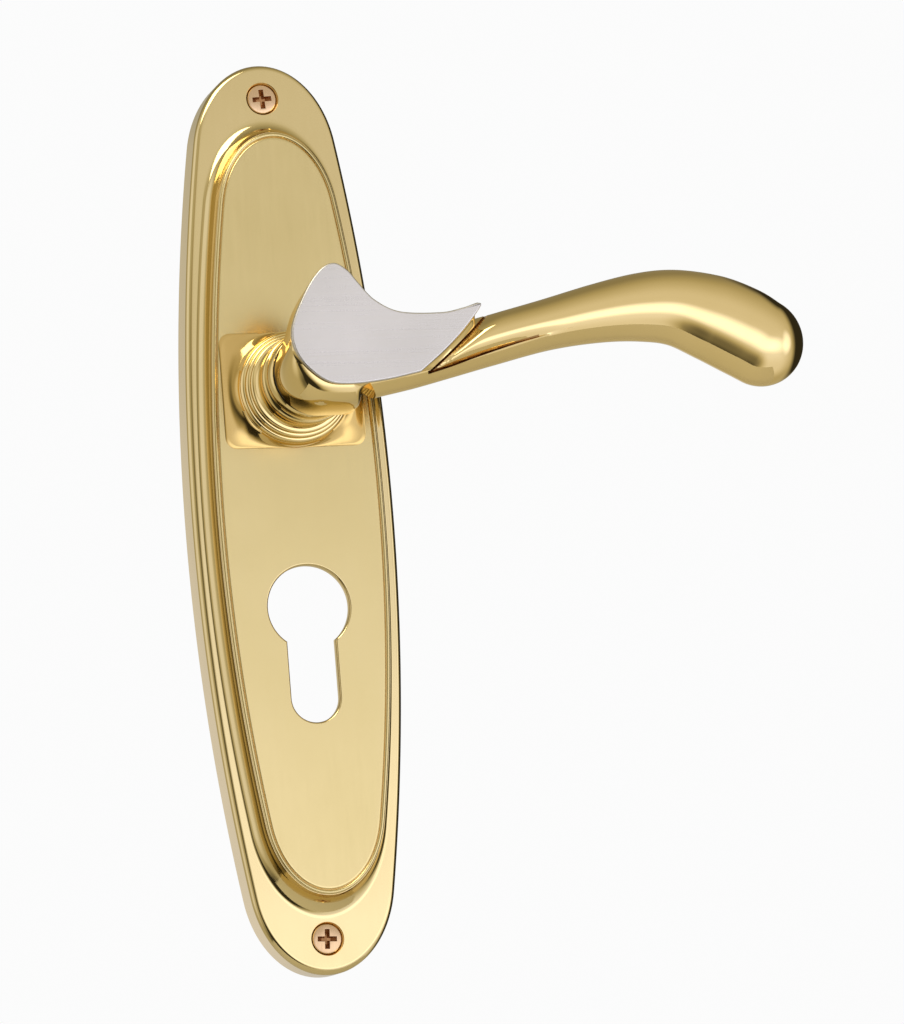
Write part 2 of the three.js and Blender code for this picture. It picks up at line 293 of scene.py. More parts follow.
# The crest's outline as (x, z): over the top and round the left, up the slope, round the tip.
CREST_OVER = [(33.4, 11.8), (29.8, 10.7), (25, 9.9), (16.2, 10.3), (10.9, 12.9), (7.6, 16.6),
              (5.3, 19.5), (2.4, 21.1), (-0.9, 19.5), (-4.6, 14.4), (-7.8, 6.9), (-6.5, 0.8), (-1.5, -4),
              (3.9, -5), (12, -4.3), (19.8, -2.8)]
CREST_SLOPE = [(19.8, -2.8), (25.2, 1.5), (29.4, 5.4), (32.7, 9.1), (34.2, 11.1)]
CREST_TIP = [(34.2, 11.1), (34.2, 11.6), (33.4, 11.8)]
OVER_STEPS, SLOPE_STEPS, TIP_STEPS = 160, 40, 10


def crest_outline():
    """The head's front outline: a hollow top, a round left side, a slope above the arm, a blunt tip."""
    sides = ((CREST_OVER, OVER_STEPS), (CREST_SLOPE, SLOPE_STEPS), (CREST_TIP, TIP_STEPS))
    return np.concatenate([resample(spline(points, 400), steps + 1)[:-1] for points, steps in sides])


def inset(outline, amount):
    """Moves a closed outline inwards along its normals, softly at its corners."""
    before, after = np.roll(outline, 1, axis=0), np.roll(outline, -1, axis=0)
    tangent = after - before
    tangent /= np.linalg.norm(tangent, axis=1)[:, None]
    normal = np.stack([-tangent[:, 1], tangent[:, 0]], axis=1)
    return outline + normal * amount


# ---- materials ----


class Nodes:
    """A short way to write a node tree."""

    def __init__(self, tree):
        self.tree = tree

    def add(self, kind, **values):
        node = self.tree.nodes.new(kind)
        for key, value in values.items():
            if hasattr(node, key):
                setattr(node, key, value)
            else:
                node.inputs[key].default_value = value
        return node

    def link(self, output, socket):
        self.tree.links.new(output, socket)

    def fixed(self, kind, operation, value, constant):
        """A maths node of one linked value and one constant."""
        node = self.add(kind, operation=operation)
        self.link(value, node.inputs[0])
        node.inputs[1].default_value = constant
        return node.outputs[0]

    def total(self, a, b):
        node = self.add("ShaderNodeMath", operation="ADD")
        self.link(a, node.inputs[0])
        self.link(b, node.inputs[1])
        return node.outputs["Value"]

    def ranged(self, value, low, high, start=0.3, stop=0.7, curve="LINEAR"):
        node = self.add("ShaderNodeMapRange", interpolation_type=curve)
        self.link(value, node.inputs["Value"])
        for key, number in (("From Min", start), ("From Max", stop), ("To Min", low), ("To Max", high)):
            node.inputs[key].default_value = number
        return node.outputs["Result"]


class Finish(Nodes):
    """A material's node tree, with patterns that are fixed to the object."""

    def __init__(self, name):
        self.material = bpy.data.materials.new(name)
        self.material.use_nodes = True
        super().__init__(self.material.node_tree)
        self.shader = self.tree.nodes["Principled BSDF"]
        self.place = self.add("ShaderNodeTexCoord").outputs["Object"]

    def noise(self, scale, stretch=(1, 1, 1), detail=3.0, roughness=0.5):
        mapping = self.add("ShaderNodeMapping", Scale=stretch)
        self.link(self.place, mapping.inputs["Vector"])
        noise = self.add("ShaderNodeTexNoise", Scale=scale, Detail=detail, Roughness=roughness)
        self.link(mapping.outputs["Vector"], noise.inputs["Vector"])
        return noise.outputs["Fac"]

    def tone(self, factor, first, second):
        node = self.add("ShaderNodeMix", data_type="RGBA")
        self.link(factor, node.inputs["Factor"])
        node.inputs["A"].default_value = (*first, 1)
        node.inputs["B"].default_value = (*second, 1)
        return node.outputs["Result"]

    def bump(self, height, strength, distance, below=None):
        node = self.add("ShaderNodeBump", Strength=strength, Distance=distance)
        self.link(height, node.inputs["Height"])
        if below is not None:
            self.link(below, node.inputs["Normal"])
        return node.outputs["Normal"]


def metal(name, dark, light, rough, grain=None, grain_rough=0.0, grain_bump=0.0, wear=0.04,
          orange_peel=0.12):
    """Metal with cloudy tone, uneven polish, optional brush lines and fine handling marks."""
    n = Finish(name)
    n.shader.inputs["Metallic"].default_value = 1.0
    cloud = n.noise(38, detail=4)
    n.link(n.tone(n.ranged(cloud, 0, 1), dark, light), n.shader.inputs["Base Color"])
    marks = n.noise(900, (1, 1, 0.12), detail=6, roughness=0.7)
    polish = n.ranged(marks, rough - wear / 2, rough + wear, 0.42, 0.75)
    surface = n.bump(n.noise(260, detail=5), orange_peel, 0.02 * MM)
    if grain:
        lines = n.noise(*grain, detail=8, roughness=0.75)
        polish = n.total(polish, n.ranged(lines, -grain_rough, grain_rough))
        surface = n.bump(lines, grain_bump, 0.03 * MM, surface)
    n.link(polish, n.shader.inputs["Roughness"])
    n.link(surface, n.shader.inputs["Normal"])
    return n.material


def plastic(name, dark, light):
    """Moulded nylon: faintly mottled, with a fine matt texture."""
    n = Finish(name)
    n.link(n.tone(n.noise(220), dark, light), n.shader.inputs["Base Color"])
    n.link(n.ranged(n.noise(700, detail=5), 0.42, 0.6), n.shader.inputs["Roughness"])
    n.link(n.bump(n.noise(1500, detail=4), 0.15, 0.03 * MM), n.shader.inputs["Normal"])
    return n.material


# Brush lines: noise scale, and how it is stretched along X, Y and Z.
UPRIGHT_GRAIN = (1500, (1, 1, 0.03))
LEVEL_GRAIN = (1700, (0.012, 1, 1))

MATERIALS = {
    "plate_brass": metal("satin_brass", (0.69, 0.535, 0.215), (0.73, 0.57, 0.24), 0.22,
                         UPRIGHT_GRAIN, 0.03, 0.03),
    "border_brass": metal("border_brass", (0.76, 0.585, 0.25), (0.81, 0.63, 0.28), 0.10,
                          UPRIGHT_GRAIN, 0.01, 0.01),
    "polished_brass": metal("polished_brass", (0.86, 0.64, 0.25), (0.92, 0.69, 0.29), 0.045,
                            wear=0.03, orange_peel=0.04),
    "satin_nickel": metal("satin_nickel", (0.65, 0.60, 0.495), (0.72, 0.665, 0.555), 0.32,
                          LEVEL_GRAIN, 0.14, 0.30),
    "zinc_steel": metal("zinc_steel", (0.55, 0.56, 0.58), (0.68, 0.69, 0.70), 0.34, wear=0.14),
    "spring_steel": metal("spring_steel", (0.30, 0.30, 0.31), (0.42, 0.42, 0.43), 0.30, wear=0.1),
    "screw_brass": metal("screw_brass", (0.62, 0.40, 0.19), (0.74, 0.50, 0.26), 0.22, wear=0.14),
    # Darker brown for painted shade inside the screws' cross recesses.
    "recess_painted_shade": metal("recess_painted_shade", (0.42, 0.21, 0.08), (0.58, 0.31, 0.12), 0.5, wear=0.2),
    "groove_patina": metal("groove_patina", (0.40, 0.23, 0.08), (0.55, 0.34, 0.13), 0.34, wear=0.1),
    # Polished brass made darker and more orange: painted shade on the neck pad.
    "pad_brass_painted_shade": metal("pad_brass_painted_shade", (0.66, 0.44, 0.13), (0.76, 0.52, 0.17), 0.12, wear=0.08),
    "nylon": plastic("nylon", (0.82, 0.80, 0.74), (0.88, 0.86, 0.80)),
    "black_nylon": plastic("black_nylon", (0.012, 0.011, 0.010), (0.022, 0.020, 0.018)),
}


def finish_with(piece, *names):
    piece.data.materials.clear()
    for name in names:
        piece.data.materials.append(MATERIALS[name])


def paint(piece, second):
    """Gives the second material to the faces whose centre, as (x, proud, z), passes a test."""
    for polygon in piece.data.polygons:
        centre = polygon.center / MM
        polygon.material_index = int(second(centre.x, -centre.y, centre.z))


# ---- the backplate ----

# The cove reaches from the panel's wall, further at the tips; a bead runs round the panel's edge.
COVE_SIDE, COVE_END, COVE_STEPS = 3.4, 5.8, 18
BEAD, BEAD_RISE, PANEL_LIP = 1.0, 0.45, 0.35
PLATE_EDGE, FOOT_CHAMFER = 1.5, 0.25
BOSS_R, NECK_HOLE_R = 6, 10.2
POST_R, POST_Z, POST_BACK, POST_HOLE_R, POST_HOLE_DEPTH = 3, 18.4, 2.4, 1.5, 9
# How much wider than the euro-profile cut-out and how far above the panel its edge is.
EURO_FLARE = [(1.2, 1.0), (0.45, 0.0), (0.16, -0.18), (0, -0.5), (0, -6)]
# How much wider than the screw's head and how far above the border its seat is.
COUNTERSINK = [(-1.2, -10), (-1.2, -2.2), (0, -0.5), (0.05, -0.15), (0.35, 0.3), (0.35, 1)]


def hollow_rings():
    """From the hollow's ceiling, down the inside and round the foot."""
    foot = FOOT_CHAMFER
    return [oval_ring(PANEL, PANEL_PROUD - SKIN, -SKIN), oval_ring(PANEL, PLATE_DEPTH - SKIN, -SKIN),
            oval_ring(PLATE, PLATE_DEPTH - SKIN, -SKIN), oval_ring(PLATE, foot, -SKIN),
            oval_ring(PLATE, 0, foot - SKIN), oval_ring(PLATE, 0, -0.2), oval_ring(PLATE, 0.2, 0)]


def border_rings():
    """The plate's rounded edge, then its border and the cove that rises to the bead."""
    rings = []
    for i in range(9):
        a = math.pi / 2 * i / 8
        proud = PLATE_DEPTH - PLATE_EDGE + PLATE_EDGE * math.sin(a)
        rings.append(oval_ring(PLATE, proud, PLATE_EDGE * (math.cos(a) - 1)))
    rise = PANEL_PROUD - PANEL_LIP - PLATE_DEPTH
    for i in range(COVE_STEPS + 1):
        t = i / COVE_STEPS
        proud = PLATE_DEPTH + rise * (1 - math.sqrt(max(0.0, 1 - t ** 2)))
        rings.append(oval_ring(PANEL, proud, mix(COVE_SIDE, BEAD + 0.2, t), mix(COVE_END, BEAD + 0.2, t)))
    return rings


def panel_rings():
    """Over the bead and onto the panel."""
    rings = []
    for i in range(9):
        a = math.pi * i / 8
        rings.append(oval_ring(PANEL, PANEL_PROUD - PANEL_LIP + BEAD_RISE * math.sin(a),
                               BEAD / 2 + 0.1 + (BEAD / 2) * math.cos(a)))
    for i in range(5):
        a = math.pi / 2 * i / 4
        rings.append(oval_ring(PANEL, PANEL_PROUD - PANEL_LIP + PANEL_LIP * math.sin(a),
                               0.05 - PANEL_LIP * (1 - math.cos(a))))
    rings.append(oval_ring(PANEL, PANEL_PROUD, -0.6))
    return rings


def backplate():
    rings = hollow_rings() + border_rings() + panel_rings()
    piece = new_piece("backplate_shell", *loft(rings), "backplate", "backplate", "plate_brass")
    cut(piece, loft([[(x, PANEL_PROUD + up, z) for x, z in euro_outline(grow)] for grow, up in EURO_FLARE]))
    cut(piece, rod(NECK_HOLE_R, 0, PANEL_PROUD + 3))
    for side in (1, -1):
        screw, post = (0.0, PLATE_CENTRE + side * SCREW_Z), (0.0, side * POST_Z)
        add(piece, rod(BOSS_R, 0, PLATE_DEPTH - 1, centre=screw))
        seat = [(SCREW_R + wider, PLATE_DEPTH + up) for wider, up in COUNTERSINK]
        cut(piece, loft(lathe(seat, 72, screw)))
        add(piece, rod(POST_R, POST_BACK, PANEL_PROUD - 1, 40, post))
        cut(piece, rod(POST_HOLE_R, 0, POST_HOLE_DEPTH, 24, post))
    smooth_shade(piece, 32)
    true_faces(piece)
    finish_with(piece, "plate_brass", "border_brass")
    # The flat panel keeps its satin grain; the border, cove and rim are brighter.
    paint(piece, lambda x, proud, z: proud <= PANEL_PROUD - 0.05)


# The polished pad round the neck: a rectangle that swells up to meet the collar's foot.
PAD_W, PAD_H, PAD_CORNER, PAD_RISE, PAD_EDGE = 15.7, 12.7, 2.6, 1.2, 0.12
PAD_FOOT_R, PAD_HOLE_R, PAD_SUNK, PAD_STEPS = 12.5, 10.3, 0.3, 14


def rounded_rectangle(half_w, half_h, corner, count):
    points = []
    for cx, cz, start in ((1, 1, 0), (-1, 1, 90), (-1, -1, 180), (1, -1, 270)):
        for i in range(count):
            a = math.radians(start + 90 * i / (count - 1))
            points.append((cx * (half_w - corner) + corner * math.cos(a),
                           cz * (half_h - corner) + corner * math.sin(a)))
    return points


def neck_pad():
    outline = np.array(rounded_rectangle(PAD_W, PAD_H, PAD_CORNER, 13))
    outline = resample(np.r_[outline, outline[:1]], 161)[:-1]
    rings = [[(x, PANEL_PROUD - PAD_SUNK, z) for x, z in outline]]
    for i in range(PAD_STEPS + 1):
        t = i / PAD_STEPS
        proud = PANEL_PROUD + (PAD_EDGE if i else 0) + PAD_RISE * t ** 3
        scales = [mix(1.0, PAD_FOOT_R / math.hypot(x, z), t) for x, z in outline]
        rings.append([(x * scale, proud, z * scale) for (x, z), scale in zip(outline, scales)])
    for proud in (PANEL_PROUD + PAD_RISE, PANEL_PROUD - PAD_SUNK):
        scales = [PAD_HOLE_R / math.hypot(x, z) for x, z in outline]
        rings.append([(x * scale, proud, z * scale) for (x, z), scale in zip(outline, scales)])
    piece = new_piece("neck_pad", *closed_loft(rings), "backplate", "backplate", "polished_brass", 40)
    # The pad takes the darker copy of polished brass as painted shade.
    finish_with(piece, "pad_brass_painted_shade")


# The collar's profile as (radius, proud): its foot, three rings, a waist, a neck and its rim.
COLLAR_RUNS = (
    [(12.7, 14.9), (12.2, 15.2), (11.9, 15.6)],
    [(11.9, 15.6), (12.3, 16.5), (11.9, 17.3), (11.2, 17.5)],
    [(11.2, 17.5), (11.5, 18.2), (11.2, 18.9), (10.5, 19.1)],
    [(10.5, 19.1), (10.75, 19.7), (10.5, 20.3), (9.8, 20.5)],
    [(9.8, 20.5), (9.3, 21.4), (9.15, 23.0), (9.4, 25.0), (9.9, 26.3), (9.75, 27.2), (9.2, 27.6)],
    [(9.2, 27.6), (9.3, 28.2), (9.55, 29.6), (9.4, 31.0), (9.15, COLLAR_PROUD - 0.2)],
    [(9.15, COLLAR_PROUD - 0.2), (8.9, COLLAR_PROUD)],
    [(8.9, COLLAR_PROUD), (8.0, COLLAR_PROUD)])
COLLAR_BORE = [(7.9, COLLAR_PROUD - 0.1), (7.9, 30.6), (8.6, 30.6), (8.6, 15.0), (8.9, 14.6),
               (8.9, 12.3), (9.9, 12.3), (9.9, 14.8)]


def neck_collar():
    rings = lathe(runs(*COLLAR_RUNS) + COLLAR_BORE, 144)
    piece = new_piece("neck_collar_turned", *closed_loft(rings), "backplate", "neck_collar",
                      "polished_brass", 38)
    finish_with(piece, "polished_brass")


# ---- the lever ----

# The arm's spine as (x, z, half height); its depth grows more slowly than its height.
ARM_PROUD, ARM_THIN, ARM_THIN_PER_R = 39.4, 3.4, 0.34
ARM_STATIONS = [(6.5, 0.7, 8.1), (10.6, 0.8, 7.8), (19, 1.2, 6.5), (27, 2.2, 5.5), (37, 4.6, 5.4),
                (50, 7.7, 5.5), (62, 10, 6.4), (72, 11.1, 7.5), (80, 10.8, 8.4), (88, 8.4, 9.6),
                (94.5, 5.4, 10), (98.8, 2.8, 9.8)]
SECTION, ARM_RINGS, TIP_RINGS = 96, 220, 20
FRONT_SUNK, SUNK_FROM, SUNK_OVER = 0.9, 30, 22
# A raised tongue leaves the head: a valley parts it from the head's slope, a crease runs below it.
VALLEY = [(38.6, 12.0), (36.5, 9.8), (32.0, 5.6), (27.5, 1.6), (22.6, -2.5)]
CREASE = [(22.2, -2.5), (27.5, -1.0), (32.2, 0.5), (37, 1.95), (42, 3.3), (47, 4.5), (52.1, 5.6),
          (55, 6.2)]
CREASE_FADE = (36.0, 55.0)
TONGUE_DROP, TONGUE_ROUND = 1.0, 1.3
GROOVE_HALF, GROOVE_DEPTH, GROOVE_LIP, GROOVE_SHOULDER, GROOVE_LEAST = 0.33, 1.15, 0.15, 0.25, 0.25
BLADE_ABOVE = 3

ARM_SPINE = np.array(spline(ARM_STATIONS, ARM_RINGS))


def crease_strength(x):
    return 1 - ease((x - CREASE_FADE[0]) / (CREASE_FADE[1] - CREASE_FADE[0]))


def tongue_edge():
    """Points along the valley by the head and along the crease that leads away from it."""
    valley, crease = np.array(spline(VALLEY, 80)), np.array(spline(CREASE, 160))
    strength = [1.0] * len(valley) + [crease_strength(x) for x, z in crease]
    return valley[::-1], crease, np.concatenate([valley, crease]), np.array(strength)


def tongue_drop(spot, edge):
    """How far the tongue's rounded border falls away towards the groove that bounds it."""
    valley, crease, points, strength = edge
    above = spot[1] > np.interp(spot[0], crease[:, 0], crease[:, 1])
    beyond = spot[0] > np.interp(spot[1], valley[:, 1], valley[:, 0])
    if not (above and beyond):
        return 0.0
    away = np.hypot(*(points - spot).T)
    nearest = int(np.argmin(away))
    return TONGUE_DROP * strength[nearest] * math.exp(-(away[nearest] / TONGUE_ROUND) ** 1.6)


def front_sunk(x):
    return FRONT_SUNK * (1 - ease((x - SUNK_FROM) / SUNK_OVER))


def arm_section(edge, centre, along, r, beyond=0.0, shrink=1.0):
    """One oval cross-section; near the head its front is flatter and carries the tongue."""
    across = np.array([-along[1], along[0]])
    depth = ARM_THIN + ARM_THIN_PER_R * r
    ring = []
    for i in range(SECTION):
        a = 2 * math.pi * i / SECTION
        up, out = math.sin(a), math.cos(a)
        spot = centre + across * r * up * shrink + along * beyond
        proud = depth * out * shrink
        if out > 0:
            proud -= front_sunk(centre[0]) * out
            if centre[0] < CREASE_FADE[1]:
                proud -= tongue_drop(spot, edge) * out ** 0.4
        ring.append((spot[0], ARM_PROUD + proud, spot[1]))
    return ring


def arm_rings():
    edge, rings = tongue_edge(), []
    for i, (x, z, r) in enumerate(ARM_SPINE):
        nearby = ARM_SPINE[min(i + 1, ARM_RINGS)] - ARM_SPINE[max(i - 1, 0)]
        along = nearby[:2] / np.linalg.norm(nearby[:2])
        rings.append(arm_section(edge, np.array([x, z]), along, r))
    for i in range(1, TIP_RINGS):
        a = math.pi / 2 * i / TIP_RINGS
        rings.append(arm_section(edge, np.array([x, z]), along, r, r * math.sin(a), math.cos(a)))
    return rings


def arm_front(spot):
    """How proud the arm's front is at a place seen from the front."""
    away = np.hypot(*(ARM_SPINE[:, :2] - spot).T)
    nearest = int(np.argmin(away))
    x, _, r = ARM_SPINE[nearest]
    out = math.sqrt(max(0.0, 1 - min(1.0, away[nearest] / r) ** 2))
    return ARM_PROUD + (ARM_THIN + ARM_THIN_PER_R * r - front_sunk(x)) * out


def groove_cutter(path, count, fades):
    """A V-bottomed blade swept along a line on the arm's front."""
    points = resample(spline(path, 120), count)
    rings = []
    for i, spot in enumerate(points):
        strength = crease_strength(spot[0]) if fades else 1.0
        step = points[min(i + 1, count - 1)] - points[max(i - 1, 0)]
        side = np.array([-step[1], step[0]]) / np.linalg.norm(step) * GROOVE_HALF
        side = side * max(strength, GROOVE_LEAST)
        left, right, front = spot - side, spot + side, arm_front(spot)
        bottom = front + GROOVE_LIP - (GROOVE_DEPTH + GROOVE_LIP) * strength
        shoulder, top = front - GROOVE_SHOULDER * strength, front + BLADE_ABOVE
        rings.append([(spot[0], bottom, spot[1]), (right[0], shoulder, right[1]), (right[0], top, right[1]),
                      (left[0], top, left[1]), (left[0], shoulder, left[1])])
    return loft(rings)


# The hub: round above and at the left, squared off at the lower right.
HUB_INSET, STUB_X, STUB_Z, SQUARENESS = 1.6, 8.0, 9.3, 12
# From the hub to the crest: how far forward each ring of the head is, then how its front edge rounds.
HEAD_LEVELS = (0.0, 0.03, 0.1, 0.2, 0.3, 0.4, 0.5, 0.6, 0.68, 0.75, 0.81, 0.86, 0.9, 0.94, 0.97)
HEAD_EDGE = ((0.03, 0.15), (0.14, 0.02), (0.3, 0.0))
HEAD_TAPER_X, HEAD_TAPER_Z, OVERHANG_PROUD = 0.97, 0.93, 38.0
OVERHANG_FROM, OVERHANG_OVER = 13, 11
# A wall under the slope stands out towards the arm.
SKIRT, SKIRT_DROP, SKIRT_X, SKIRT_Z = 2.0, 2.0, 0.687, -0.727


def hub_point(x, z, inside=0.0):
    """Where the hub's outline lies in the direction of a point."""
    reach = math.hypot(x, z)
    cos, sin = x / reach, z / reach
    if z > 0:
        r = HUB_R
    elif x < 0:
        r = 1 / math.hypot(cos / HUB_R, sin / STUB_Z)
    else:
        r = 1 / ((cos / STUB_X) ** SQUARENESS + (-sin / STUB_Z) ** SQUARENESS) ** (1 / SQUARENESS)
    return np.array([cos, sin]) * (r - inside)


def head_back(crest):
    """Where the head's side starts at its back, behind each point of the crest's outline."""
    back = []
    for i, (x, z) in enumerate(crest):
        if i < OVER_STEPS and x < STUB_X + 0.6:
            weight = ease((OVERHANG_FROM - z) / OVERHANG_OVER)
            spot = np.array([x, z * HEAD_TAPER_Z]) * (1 - weight) + hub_point(x, z) * weight
        else:
            weight, spot = 0.0, np.array([x * HEAD_TAPER_X, z * HEAD_TAPER_Z])
        back.append((*spot, mix(OVERHANG_PROUD, HEAD_BACK, weight)))
    return back


def skirt(i, proud):
    """How far the wall under the slope stands out at one of the outline's points."""
    along = (i - OVER_STEPS) / SLOPE_STEPS
    if not 0 < along < 1:
        return 0.0
    return SKIRT * min(1.0, 5 * along, 9 * (1 - along)) * ease((HEAD_FRONT - proud) / SKIRT_DROP) ** 1.2


def head_rings():
    """From the hub at the back to the crest outline at the front."""
    crest = crest_outline()
    back = head_back(crest)
    rings = [[(hub[0], HEAD_BACK, hub[1]) for hub in (hub_point(x, z, HUB_INSET) for x, z in crest)]]
    for t in HEAD_LEVELS:
        blend = 1 - math.sqrt(max(0.0, 1 - t ** 3))
        narrow = HEAD_TAPER_X if t == 0.0 else 1.0
        ring = []
        for i, ((x, z), (back_x, back_z, back_proud)) in enumerate(zip(crest, back)):
            proud = mix(back_proud, HEAD_FRONT, t)
            out = skirt(i, proud)
            ring.append((mix(back_x, x, blend) * narrow + SKIRT_X * out, proud,
                         mix(back_z, z, blend) * narrow + SKIRT_Z * out))
        rings.append(ring)
    for shrink, behind in HEAD_EDGE:
        rings.append([(x, HEAD_FRONT - behind, z) for x, z in inset(crest, shrink)])
    return rings


# Cut away from the arm: all to the left of the head's slope, and the slanted end under the head.
ARM_START = [(-20, -2), (21.6, -2), (25.7, 1.3), (29.9, 5.2), (33.2, 8.9), (34.6, 10.9), (34.7, 30),
             (-20, 30)]
ARM_END = [(-20, -4.1), (8.9, -4.1), (11.7, -7.8), (12.5, -30), (-20, -30)]
ARM_CUT_BACK, ARM_CUT_FRONT = 20, 60
TAIL_R, TAIL_BACK = 7, 2.6
SOCKET_DEPTH, FACE_GAP = 40.3, 0.1
PATINA_FROM, PATINA_STRENGTH, PATINA_DEEP = 20, 0.35, 0.3


def lever():
    piece = new_piece("lever_body", *loft(head_rings()), "lever", "lever", "polished_brass")
    add(piece, rod(TAIL_R, TAIL_BACK, HEAD_BACK + 1, 72))
    half = SPINDLE_HALF
    corners = [(half, half), (-half, half), (-half, -half), (half, -half)]
    cut(piece, loft([[(x, proud, z) for x, z in corners] for proud in (0, SOCKET_DEPTH)]))
    arm = new_piece("arm", *loft(arm_rings()))
    for outline in (ARM_START, ARM_END):
        cut(arm, loft([[(x, proud, z) for x, z in outline] for proud in (ARM_CUT_BACK, ARM_CUT_FRONT)]))
    combine(piece, arm, "UNION")
    cut(piece, groove_cutter(VALLEY, 40, False))
    cut(piece, groove_cutter(CREASE, 90, True))
    seat = inset(crest_outline(), -FACE_GAP)
    cut(piece, loft([[(x, HEAD_FRONT + up, z) for x, z in seat] for up in (0.01, 5)]))
    smooth_shade(piece, 34)
    finish_with(piece, "polished_brass", "groove_patina")
    edge = tongue_edge()[2]
    paint(piece, lambda x, proud, z: in_groove(edge, x, proud, z))


def in_groove(edge, x, proud, z):
    """Polish never reaches the bottom of the groove, so its walls stay brown."""
    if not (x > PATINA_FROM and proud > ARM_PROUD and crease_strength(x) > PATINA_STRENGTH):
        return False
    spot = np.array([x, z])
    near = np.hypot(*(edge - spot).T).min() < GROOVE_HALF * 0.95
    return near and proud < arm_front(spot) - PATINA_DEEP * crease_strength(x)


# The satin face's rounded border: how far in, and how far behind its front.
FACE_EDGE = ((0.0, 0.35), (0.05, 0.15), (0.18, 0.03), (0.4, 0.0))


def lever_face():
    crest = crest_outline()
    profile = [(0.1, FACE_BACK), (0.0, FACE_BACK + 0.1)]
    profile += [(amount, FACE_FRONT - behind) for amount, behind in FACE_EDGE]
    rings = [[(x, proud, z) for x, z in inset(crest, amount)] for amount, proud in profile]
    piece = new_piece("lever_face_plate", *loft(rings), "lever", "lever_face", "satin_nickel", 40)
    true_faces(piece)
    finish_with(piece, "satin_nickel")


# ---- the fixing screws ----

THREAD_PITCH, THREAD_HEIGHT, THREAD_FADE = 1.8, 0.45, 3
SHANK_R, SHANK_TIP_R, SHANK_TAPER, SHANK_BEHIND = 1.35, 0.25, 5.5, 2.4
SHANK_ROWS, SHANK_SEGMENTS = 150, 40
# The head's profile as (radius, how far behind its top); then its recess at three depths, as
# (how far behind the top, the arms' reach, the arms' half width).
HEAD_PROFILE = [(1.75, 2.6), (1.75, 2.3), (HEAD_R - 0.1, 0.62), (HEAD_R, 0.5), (HEAD_R, 0.3),
                (HEAD_R - 0.15, 0.12), (HEAD_R - 0.6, 0.03), (1.2, 0)]
CROSS = [(1.3, 1.0, 0.28), (0.15, 2.1, 0.52), (-0.6, 2.3, 0.64)]
# How far behind the head's top the recess's faces start to take the painted shade.
CROSS_SHADE_DEPTH = 0.16


def screw_shank(centre_z):
    """A tapering wood-screw shank whose radius rises and falls along a helix."""
    top = SCREW_TOP - SHANK_BEHIND
    rings = []
    for row in range(SHANK_ROWS + 1):
        proud = mix(SCREW_TIP, top, row / SHANK_ROWS)
        from_tip = proud - SCREW_TIP
        core = mix(SHANK_TIP_R, SHANK_R, min(1, from_tip / SHANK_TAPER))
        fade = min(1, from_tip / THREAD_FADE) * min(1, (top - proud) / THREAD_FADE + 0.001)
        ring = []
        for i in range(SHANK_SEGMENTS):
            a = 2 * math.pi * i / SHANK_SEGMENTS
            phase = (proud / THREAD_PITCH + a / (2 * math.pi)) % 1
            r = core + THREAD_HEIGHT * max(0.0, 1 - abs(phase - 0.5) * 4) * fade
            ring.append((r * math.cos(a), proud, centre_z + r * math.sin(a)))
        rings.append(ring)
    return loft(rings)


def cross_cutter(centre_z, turn):
    """A tapered four-armed recess."""
    cos, sin = math.cos(turn), math.sin(turn)
    rings = []
    for behind, long, wide in CROSS:
        corners = [(wide, wide), (wide, long), (-wide, long), (-wide, wide), (-long, wide), (-long, -wide),
                   (-wide, -wide), (-wide, -long), (wide, -long), (wide, -wide), (long, -wide), (long, wide)]
        rings.append([(x * cos - z * sin, SCREW_TOP - behind, centre_z + x * sin + z * cos)
                      for x, z in corners])
    return loft(rings)


def fixing_screw(node, side, turn):
    centre_z = PLATE_CENTRE + side * SCREW_Z
    profile = [(r, SCREW_TOP - behind) for r, behind in HEAD_PROFILE]
    piece = new_piece(node + "_head", *loft(lathe(profile, 72, (0.0, centre_z))), "backplate", node,
                      "screw_brass", 30)
    cut(piece, cross_cutter(centre_z, turn))
    smooth_shade(piece, 30)
    # Painted shade: the recess's deeper faces take the darker brown.
    finish_with(piece, "screw_brass", "recess_painted_shade")
    paint(piece, lambda x, proud, z: proud < SCREW_TOP - CROSS_SHADE_DEPTH
          and math.hypot(x, z - centre_z) < HEAD_R - 0.6)
    shank = new_piece(node + "_shank", *screw_shank(centre_z), "backplate", node, "screw_brass", 50)
    finish_with(shank, "screw_brass")


# ---- hidden and rear pieces that keep their CAD shape ----

KEPT = {
    "neck_bush": "nylon", "head_washer": "black_nylon", "spindle": "zinc_steel", "grub_screw": "spring_steel",
    "thrust_washer": "zinc_steel", "spring_rotor": "zinc_steel", "wave_washer": "spring_steel",
    "circlip": "spring_steel", "cassette_cup": "zinc_steel", "cassette_cover": "zinc_steel",
    "return_spring_right": "spring_steel", "return_spring_left": "spring_steel",
    "cover_screw_upper": "zinc_steel", "cover_screw_lower": "zinc_steel",
}
# Nodes whose edges are rounded by a small bevel, and its width.
SOFTENED = {"spindle": 0.35, "cassette_cover": 0.15}


def kept_nodes():
    for node, material in KEPT.items():
        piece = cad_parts[node]
        finish_with(piece, material)
        if node in SOFTENED:
            bevel = piece.modifiers.new("edges", "BEVEL")
            bevel.width = SOFTENED[node] * MM
            bevel.segments = 3
            bevel.limit_method = "ANGLE"


# ---- stage ----


FLOOR_HALF, FLOOR_DROP = 0.30, 0.34
KEY_PLACE, KEY_AIM, KEY_SIZE, KEY_POWER = (-0.35, -0.5, 0.75), (0.03, -0.03, 0), (0.7, 0.5), 4.0


